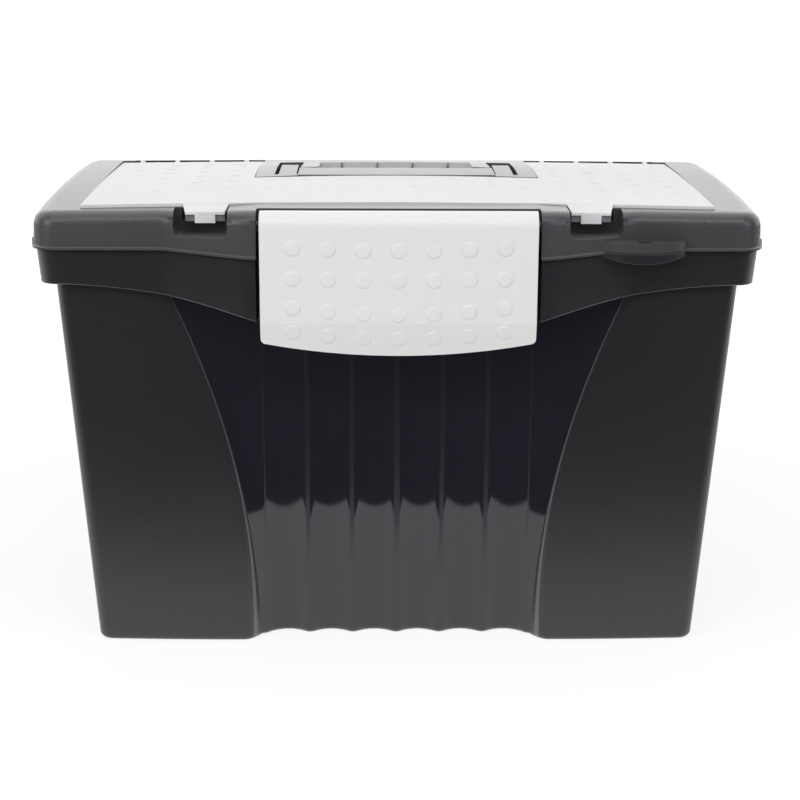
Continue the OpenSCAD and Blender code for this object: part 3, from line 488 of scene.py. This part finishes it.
# The rings run up the outside, over the rim that stands inside the lid, and down the inside. Each
# ring of the collar or the seam has its offset outwards, the place and half width of its step
# behind the latch, and its rise above the collar's edge or the seam.
levels = np.concatenate([np.linspace(0.04, 0.9, 30), [0.925, 0.95, 0.97, 0.985, 1.0]])
inner_levels = levels[::-3]
rim_hw = bay_w / 2 + lid_wall + rim_gap
fillet = np.radians(np.linspace(0, 90, 6))
outer = [flat_ring(foot_r * (1 - math.cos(a)), foot_r * (1 - math.sin(a))) for a in fillet]
outer += [body_ring(t, 0, 0) for t in levels]
recess_rings = len(outer) - 1
low_off = collar_out - collar_taper
outer += [collar_ring(low_off - collar_r * (1 - math.sin(a)), collar_bay - collar_r * (1 - math.sin(a)),
                      bay_w / 2, collar_r * (1 - math.cos(a))) for a in np.radians((0, 30, 60, 90))]
outer += [seam_ring(collar_out - 0.05, collar_bay, bay_w / 2, -1.1),
          seam_ring(collar_out - 0.6, collar_bay, bay_w / 2, -0.35),
          seam_ring(collar_off - 0.35, rim_bay, rim_hw, 0.2),
          seam_ring(collar_off - 0.6, rim_bay - 0.3, rim_hw, rim_rise),
          seam_ring(collar_off - tub_wall, rim_bay - tub_wall, rim_hw + tub_wall, rim_rise),
          seam_ring(collar_off - tub_wall, rim_bay - tub_wall, rim_hw + tub_wall, -0.5 - tub_wall),
          seam_ring(collar_off - tub_wall, collar_bay - tub_wall, bay_w / 2 + tub_wall, -1.2 - tub_wall),
          collar_ring(collar_off - collar_taper - tub_wall, collar_bay - tub_wall, bay_w / 2 + tub_wall,
                      collar_r + tub_wall)]
outer += [body_ring(t, tub_wall, t * tub_wall) for t in inner_levels]
outer += [flat_ring(tub_floor + foot_r * 0.7, tub_wall), flat_ring(tub_floor, tub_wall + foot_r * 0.7)]
count = len(outer[0])
ends = np.array([[0, foot_d / 3, 0], [0, foot_d / 3, tub_floor]])
points = np.concatenate(outer + [ends])
quads = stack_faces(len(outer), count)
i = np.arange(count)
j = (i + 1) % count
last = len(outer) * count
fans = np.concatenate([np.stack([np.full(count, last), j, i], 1),
                       np.stack([np.full(count, last + 1), (len(outer) - 1) * count + i,
                                 (len(outer) - 1) * count + j], 1)])
gloss_column = len(flute_x) + len(panel_share) - 1
ring_of = np.repeat(np.arange(len(outer) - 1), count)
column_of = np.tile(i, len(outer) - 1)
from_middle = np.minimum(column_of, count - 1 - column_of)
glossy = (ring_of < recess_rings) & (from_middle < gloss_column)
# Painted highlight: the collar's rounded lower edge and the column along the recess's edge get the pale
# black.
painted_highlight_faces = (ring_of >= recess_rings + 1) & (ring_of < recess_rings + 3)
painted_highlight_faces |= (ring_of < recess_rings) & (from_middle == gloss_column + 1)
ridge_column = np.abs((from_middle * flute_x[1] / flute_pitch + 0.5) % 1 - 0.5) < blurred_share
blurred = (ring_of < recess_rings) & (from_middle < len(flute_x) - 1) & ridge_column
finish = np.select([painted_highlight_faces, blurred, glossy], [3, 2, 1], 0)
tub = surface("tub_moulding", points, quads.tolist() + fans.tolist(),
              [textured_black, gloss_black, softened_black, painted_highlight_black],
              np.concatenate([finish, np.zeros(len(fans), dtype=int)]), crease=28)
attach(tub, "tub")
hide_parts("box_tub")

# Lock ear, hinge knuckles and filing rails of the tub
# All moulded in one with the tub: the half-moon ear with its padlock hole, two pairs of knuckles
# at the back, and an L-shaped rail on small gussets along each side for the folders' hooks.
ear_x = 143
ear_w = 51
ear_out = 15
ear_front_r = 35
ear_corner_r = 3
ear_root = 5
lock_hole_share = 0.55
ear_gap = 0.5
lid_ear_top = seam_h + 6.7
lid_ear_t = 5.6
tub_ear_t = 6
lock_hole_r = 4
ear_taper = 3.8
hinge_x = 130
hinge_y = skirt_hd + 3.4
pin_r = 2.06
knuckle_r = 4.4
knuckle_l = 12
knuckle_step = 12.4
hinge_z = seam_h - knuckle_r - 0.6
rail_span = 387
rail_t = 2.2
rail_lip = 5
rail_top = seam_h - 12
rail_setback = 20
gusset_drop = 14
gusset_share = 0.7


def arc(cx, cy, r, start, end, steps):
    """Points along an arc, from one angle to another in degrees."""
    a = np.radians(np.linspace(start, end, steps + 1))
    return np.stack([cx + r * np.cos(a), cy + r * np.sin(a)], 1)


def with_stations(outline, step):
    """A closed outline with extra points on its long edges, none further apart than step."""
    loop = np.vstack([outline, outline[:1]])
    length = np.concatenate([[0], np.cumsum(np.linalg.norm(np.diff(loop, axis=0), axis=1))])
    at = np.unique(np.concatenate([length, np.arange(0, length[-1], step)]).round(4))[:-1]
    return np.stack([np.interp(at, length, loop[:, 0]), np.interp(at, length, loop[:, 1])], 1)


def straight_bar(outline, low, high, axis):
    """A closed outline carried straight along an axis, with flat ends. Returns points and faces."""
    outline = np.asarray(outline, dtype=float)
    count = len(outline)
    points = np.concatenate([np.insert(outline, axis, at, axis=1) for at in (low, high)])
    return points, stack_faces(2, count).tolist() + [list(range(count)), list(range(count, 2 * count))]


def pierced_bar(outline, centre, radius, low, high, axis, step=1.0):
    """A closed outline with a round hole, carried straight along an axis. Each station of the hole
    lies in line with its station of the outline, seen from the hole's centre."""
    outline = with_stations(outline, step)
    away = outline - centre
    hole = centre + radius * away / np.linalg.norm(away, axis=1)[:, None]
    rings = [(outline, low), (outline, high), (hole, high), (hole, low), (outline, low)]
    points = np.concatenate([np.insert(ring, axis, at, axis=1) for ring, at in rings[:4]])
    return points, (stack_faces(5, len(outline)) % len(points)).tolist()


def round_edges(obj, width, segments, entry):
    """Rounds the sharp edges of an object by a narrow bevel, which has the material at the place
    entry in the list, or that of the faces beside it where entry is -1."""
    rounding = obj.modifiers.new("edge_rounding", "BEVEL")
    rounding.width = width * MM
    rounding.segments = segments
    rounding.limit_method = "ANGLE"
    rounding.angle_limit = math.radians(40)
    rounding.material = entry


def moulding(name, shapes, materials, body, bevel):
    """Puts some closed shapes into one object whose sharp edges are rounded by a narrow bevel, which
    has the last of its materials."""
    points = np.concatenate([shape[0] for shape in shapes])
    starts = np.cumsum([0] + [len(shape[0]) for shape in shapes])
    faces = [[corner + start for corner in face] for shape, start in zip(shapes, starts) for face in shape[1]]
    obj = surface(name, points, faces, materials)
    work = bmesh.new()
    work.from_mesh(obj.data)
    bmesh.ops.recalc_face_normals(work, faces=work.faces)
    work.to_mesh(obj.data)
    work.free()
    round_edges(obj, bevel, 3, len(materials) - 1)
    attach(obj, body)


def ear_outline(back_y):
    """The ear from above: short sides, rounded corners and a front edge in one wide arc."""
    hw = ear_w / 2
    turn = math.degrees(math.asin((hw - ear_corner_r) / (ear_front_r - ear_corner_r)))
    mid_y = -skirt_hd - ear_out + ear_front_r
    corner_y = mid_y - (ear_front_r - ear_corner_r) * math.cos(math.radians(turn))
    return np.concatenate([[[ear_x - hw, back_y]],
                           arc(ear_x - hw + ear_corner_r, corner_y, ear_corner_r, 180, 270 - turn, 8),
                           arc(ear_x, mid_y, ear_front_r, 270 - turn, 270 + turn, 40)[1:-1],
                           arc(ear_x + hw - ear_corner_r, corner_y, ear_corner_r, 270 + turn, 360, 8),
                           [[ear_x + hw, back_y]]])


lock_hole = np.array([ear_x, -skirt_hd - lock_hole_share * ear_out])
tub_ear_top = lid_ear_top - lid_ear_t - ear_gap
ear_points, ear_faces = pierced_bar(ear_outline(-skirt_hd + ear_root), lock_hole, lock_hole_r,
                                    tub_ear_top - tub_ear_t, tub_ear_top, 2)
underside = ear_points[:, 2] < tub_ear_top - tub_ear_t / 2
ear_points[:, 2] += underside * ear_taper * ((ear_points[:, 0] - ear_x) / (ear_w / 2)) ** 2
# The ear's rounded edges have the pale black, a painted highlight.
moulding("tub_lock_ear", [(ear_points, ear_faces)], [textured_black, painted_highlight_black], "tub", 0.7)

knuckle_root = skirt_hd + collar_off - tub_wall * 0.6
knuckle_outline = np.concatenate([arc(hinge_y, hinge_z, knuckle_r, 150, -90, 36),
                                  [[knuckle_root, hinge_z - knuckle_r],
                                   [knuckle_root, hinge_z + knuckle_r * 0.5]]])
knuckle_middles = [side * (hinge_x + way * knuckle_step) for side in (-1, 1) for way in (-1, 1)]
pin_place = np.array([hinge_y, hinge_z])
knuckles = [pierced_bar(knuckle_outline, pin_place, pin_r, x - knuckle_l / 2, x + knuckle_l / 2, 0)
            for x in knuckle_middles]
moulding("tub_hinge_knuckles", knuckles, [textured_black], "tub", 0.4)

wall_in = neck_w / 2 - tub_wall
rail_hl = neck_d / 2 - rail_setback
shelf = rail_top - rail_lip
rail_in = rail_span / 2 - rail_t / 2
rail_out = rail_span / 2 + rail_t / 2
gusset_places = (-gusset_share * rail_hl, 0, gusset_share * rail_hl)
for name, side in (("filing_rail_left", -1), ("filing_rail_right", 1)):
    lip = np.array([(rail_in, rail_top), (rail_out, rail_top), (rail_out, shelf), (wall_in + 1, shelf),
                    (wall_in + 1, shelf - rail_t), (rail_in, shelf - rail_t)]) * [side, 1]
    gusset = np.array([(rail_span / 2, shelf - 1), (wall_in + 1, shelf - 1),
                       (wall_in, shelf - gusset_drop)]) * [side, 1]
    shapes = [straight_bar(lip, -rail_hl, rail_hl, 1)]
    shapes += [straight_bar(gusset, y - rail_t / 2, y + rail_t / 2, 1) for y in gusset_places]
    moulding(name, shapes, [textured_black], "tub", 0.4)


def moulded_copy(name, source, body, materials, bevel, shape=None, edge=-1, crease=32):
    """A copy of a CAD node whose loose triangles are joined, with its flat facets dissolved, shaped
    further by a function if one is given, and its sharp edges rounded by a narrow bevel, which has
    the material of the faces beside it or the one at the place edge in the list."""
    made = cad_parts[source].data.copy()
    made.name = name
    made.materials.clear()
    for entry in materials:
        made.materials.append(entry)
    work = bmesh.new()
    work.from_mesh(made)
    bmesh.ops.remove_doubles(work, verts=work.verts, dist=0.00001)
    bmesh.ops.dissolve_limit(work, angle_limit=math.radians(0.5), verts=work.verts, edges=work.edges)
    if shape is not None:
        shape(work)
    work.to_mesh(made)
    work.free()
    made.shade_smooth()
    made.set_sharp_from_angle(angle=math.radians(crease))
    obj = bpy.data.objects.new(name, made)
    bpy.context.collection.objects.link(obj)
    round_edges(obj, bevel, 2, edge)
    obj.modifiers.new("face_weighting", "WEIGHTED_NORMAL").keep_sharp = True
    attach(obj, body)
    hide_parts(source)


# Lid
# One moulding of grained black polypropylene: the skirt with its flange, the domed borders, the
# bulge over the latch, the wells under the cover, and the island whose pocket holds the handle. The
# pocket's walls are pale behind the grip, with four thin ribs.
grained_black = plastic("grained_black", (0.060, 0.058, 0.0625), 0.30, depth=0.00007, change=0.15)
# Painted light: the notch floors get a lighter grey for the light that falls on them; the ribs use it too.
sill_painted_light_grey = plastic("sill_painted_light_grey", (0.11, 0.105, 0.104), 0.3)
pocket_grey = plastic("pocket_grey", (0.72, 0.715, 0.73), 0.4)
notch_from_x = 98
notch_to_x = 133
notch_back_y = -98
sill_z = seam_h + 8.5
sill_play = 1.5
finger_hw = 50.5
pocket_back = 67.8
grip_back_y = 20
wall_play = 0.2


def with_painted_light_sills_and_pocket_walls(work):
    """Gives the floors of the two finger notches the second material, a lighter grey that is painted
    light on these upward faces, and the walls of the finger space behind the grip the third."""
    for face in work.faces:
        middle = face.calc_center_median() / MM
        in_notch = notch_from_x < abs(middle.x) < notch_to_x and middle.y < notch_back_y
        if in_notch and face.normal.z > 0.5 and abs(middle.z - sill_z) < sill_play:
            face.material_index = 1
        back_wall = abs(middle.y - pocket_back) < wall_play and face.normal.y < -0.9
        side_wall = abs(abs(middle.x) - finger_hw) < wall_play and grip_back_y < middle.y < pocket_back
        if (back_wall or side_wall) and abs(face.normal.z) < 0.5:
            face.material_index = 2 if abs(middle.x) < finger_hw + 1 else 1


# The lid's rounded edges have the pale black, a painted highlight; the notch floors have the painted-light
# grey.
moulded_copy("lid_moulding", "lid_shell", "lid",
             [grained_black, sill_painted_light_grey, pocket_grey, painted_highlight_black], bevel=0.45,
             shape=with_painted_light_sills_and_pocket_walls, edge=3)

rib_top = seam_h + 28.6
rib_h = 12
rib_x = (-36, -12, 12, 36)
rib_outline = np.array([(-0.3, -1.2), (0.3, -1.2), (0.3, 0.4), (-0.3, 0.4)])
ribs = [straight_bar(rib_outline + [x, pocket_back], rib_top - rib_h, rib_top, 2) for x in rib_x]
moulding("finger_space_ribs", ribs, [sill_painted_light_grey], "lid", 0.2)

# Organizer cover
# A U-shaped panel of satin white polypropylene with rows of small raised dots. Hooks at its back
# clip round the lid's rod, and two tabs at its front curl down for the fingers.
top_h = seam_h + 23.8
back_rise = 0.6
cover_w = 375.6
cover_front = 96
cover_back = skirt_hd - 16.5
front_crown = 2
back_crown = 1
mid_crown = 5.2
border_crown = 1
island_w = 179
island_front = 18
cover_dot_r = 3.1
cover_dot_h = 0.22
cover_dot_pitch_x = 22.75
cover_dot_pitch_y = 24
cover_dot_first_y = -77
satin_white = plastic("satin_white", (0.80, 0.80, 0.795), 0.56, cell=0.004, depth=0.00001, change=0.01)
# Painted shade: a grey for the white walls that lie in shade under the finger tabs.
painted_shade_grey = plastic("painted_shade_grey", (0.19, 0.195, 0.215), 0.4)
tab_x = 113.5
tongue_hw = 6
tab_hw = 13.5
tab_taper = 0.86
tab_start_y = -cover_front - 7
tab_wall_y = -cover_front - 5
tab_wall_top = top_h - 5
tab_play = 0.2


def with_slanted_tabs(work):
    """Slants the sides of the two finger tabs, and gives the walls under them, beside their tongues,
    the second material, a grey that is painted shade under the tabs."""
    for vert in work.verts:
        middle = math.copysign(tab_x * MM, vert.co.x)
        if vert.co.y < tab_start_y * MM and abs(vert.co.x - middle) > (tab_hw - tab_play) * MM:
            vert.co.x = middle + (vert.co.x - middle) * tab_taper
    for face in work.faces:
        middle = face.calc_center_median() / MM
        beside_tongue = tongue_hw + tab_play < abs(abs(middle.x) - tab_x) < tab_hw + 0.5
        if beside_tongue and middle.y < tab_wall_y and middle.z < tab_wall_top:
            face.material_index = 1


moulded_copy("cover_moulding", "organizer_cover", "cover", [satin_white, painted_shade_grey],
             bevel=0.3, shape=with_slanted_tabs)


def dome(x, y):
    """Height of the cover's surface: it rises slightly to the back, is crowned over its depth, more
    so in the middle of its width, and falls off to the sides as 1 - x^2."""
    u = np.clip((y + cover_front) / (cover_front + cover_back), 0, 1)
    middle = np.clip(1 - (x / (cover_w / 2 + 7)) ** 2, 0, None)
    return (top_h + back_rise * u + middle * (front_crown * (1 - u) + back_crown * u)
            + (border_crown + mid_crown * middle) * 4 * u * (1 - u))


def raised_dots(name, centres, normals, r, h, material, body):
    """Low round buttons on a surface that has the given normals: rings of falling radius and rising
    height, from a foot sunk in the surface to a nearly flat top with a rounded edge."""
    share = np.array([1.0, 1.0, 0.93, 0.78, 0.5, 0.0])
    rise = np.array([-0.3, 0.15, 0.62, 0.9, 0.99, 1.0]) * h
    steps = 20
    a = np.linspace(0, 2 * math.pi, steps, endpoint=False)
    normals = normals / np.linalg.norm(normals, axis=1)[:, None]
    across = np.cross(normals, [0.0, 0.3, 1.0])
    across /= np.linalg.norm(across, axis=1)[:, None]
    along = np.cross(normals, across)
    spokes = r * (across[:, None, :] * np.cos(a)[None, :, None]
                  + along[:, None, :] * np.sin(a)[None, :, None])
    rings = (centres[:, None, None, :] + spokes[:, None, :, :] * share[None, :, None, None]
             + normals[:, None, None, :] * rise[None, :, None, None])
    each = len(share) * steps
    quads = stack_faces(len(share), steps)[:, ::-1]
    base = np.arange(steps)[None, :]
    faces = []
    for k in range(len(centres)):
        faces += (quads + k * each).tolist() + (base + k * each).tolist()
    obj = surface(name, rings.reshape(-1, 3), faces, [material], crease=60)
    work = bmesh.new()
    work.from_mesh(obj.data)
    bmesh.ops.remove_doubles(work, verts=work.verts, dist=0.000001)
    bmesh.ops.recalc_face_normals(work, faces=work.faces)
    work.to_mesh(obj.data)
    work.free()
    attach(obj, body)


column, row = np.meshgrid(np.arange(-8, 8) + 0.5, np.arange(7))
x = column.ravel() * cover_dot_pitch_x
y = cover_dot_first_y + row.ravel() * cover_dot_pitch_y
room = cover_dot_r + 3
on_island = (np.abs(x) < island_w / 2 + room) & (y > -island_front - room)
kept = ~on_island & (y < cover_back - room) & (np.abs(x) < cover_w / 2 - room)
x = x[kept]
y = y[kept]
nudge = 0.5
slope_x = (dome(x + nudge, y) - dome(x - nudge, y)) / (2 * nudge)
slope_y = (dome(x, y + nudge) - dome(x, y - nudge)) / (2 * nudge)
raised_dots("cover_dots", np.stack([x, y, dome(x, y)], 1), np.stack([-slope_x, -slope_y, np.ones_like(x)], 1),
            cover_dot_r, cover_dot_h, satin_white, "cover")

# Front latch
# A wide shell of the same white plastic with a rounded head that turns on moulded stubs. Its
# bottom corners and side edges are softly rounded, and four rows of round buttons stand on it.
latch_hw = 80.4
latch_corner_z = seam_h - 51.4
latch_back_y = -125.5
latch_face_y = -(skirt_hd + bulge_out + 3)
latch_crease_z = seam_h - 39.4
latch_low_z = seam_h - 59.3
latch_lip_back = 4
latch_head_z = seam_h + 12
corner_round = 2.6
side_round = 1.3
latch_dot_r = 4.65
latch_dot_h = 0.5
latch_dot_pitch = 20.5
dot_row_z = (255.4, 237.9, 217.8, 203.1)
dot_row_rise = (1.5, 1.1, 4.0, 4.2)


def rounded_latch(work):
    """Rounds the two bottom corners and then the two side edges of the latch's front, and gives the
    stubs beside it the second material, black, a painted shade that hides them in the dark gap."""
    def on_side(edge):
        return all(abs(v.co.x) > (latch_hw - 0.1) * MM for v in edge.verts)

    corners = [edge for edge in work.edges if on_side(edge)
               and all(abs(v.co.z - latch_corner_z * MM) < 0.3 * MM for v in edge.verts)
               and abs(edge.verts[0].co.y - edge.verts[1].co.y) > MM]
    bmesh.ops.bevel(work, geom=corners, offset=corner_round * MM, offset_type="OFFSET", segments=6,
                    profile=0.5, affect="EDGES", clamp_overlap=True)
    sides = [edge for edge in work.edges if len(edge.link_faces) == 2
             and all(v.co.y < (latch_back_y - 0.2) * MM or v.co.z > latch_head_z * MM for v in edge.verts)
             and sum(abs(face.normal.x) > 0.98 for face in edge.link_faces) == 1
             and all(abs(v.co.x) > (latch_hw - corner_round - 0.3) * MM for v in edge.verts)]
    bmesh.ops.bevel(work, geom=sides, offset=side_round * MM, offset_type="OFFSET", segments=4,
                    profile=0.5, affect="EDGES", clamp_overlap=True)
    # Painted shade: the white stubs are made black so that they vanish into the shaded gap beside the latch.
    for face in work.faces:
        if abs(face.calc_center_median().x) > (latch_hw + 0.2) * MM:
            face.material_index = 1


latch_white = plastic("latch_white", (0.80, 0.80, 0.79), 0.36, cell=0.004, depth=0.00001, change=0.01)
moulded_copy("latch_moulding", "front_latch", "latch", [latch_white, textured_black],
             bevel=0.5, shape=rounded_latch)

x = np.tile((np.arange(7) - 3) * latch_dot_pitch, len(dot_row_z))
share = (x / (3 * latch_dot_pitch)) ** 2
z = np.repeat(dot_row_z, 7) + np.repeat(dot_row_rise, 7) * share
lip_slope = latch_lip_back / (latch_crease_z - latch_low_z)
below = np.clip(latch_crease_z - z, 0, None)
tilted = np.where(below > 0, lip_slope, 0)
raised_dots("latch_dots", np.stack([x, latch_face_y + lip_slope * below, z], 1),
            np.stack([0 * x, 0 * x - 1, -tilted], 1), latch_dot_r, latch_dot_h, latch_white, "latch")

# Carry handle
# A dark grey moulding: a grip bar between two arms that turn on moulded stubs.
moulded_copy("handle_moulding", "carry_handle", "handle", [grained_black], bevel=0.8)

# Lid hinge pins
# Two plain steel wires with a small head, pushed through the knuckles at the back.
steel = bpy.data.materials.new("hinge_steel")
steel.use_nodes = True
shader = steel.node_tree.nodes["Principled BSDF"]
shader.inputs["Base Color"].default_value = (0.55, 0.55, 0.56, 1)
shader.inputs["Metallic"].default_value = 1.0
shader.inputs["Roughness"].default_value = 0.3
for name in ("lid_hinge_pin_left", "lid_hinge_pin_right"):
    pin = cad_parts[name]
    pin.data.materials.clear()
    pin.data.materials.append(steel)
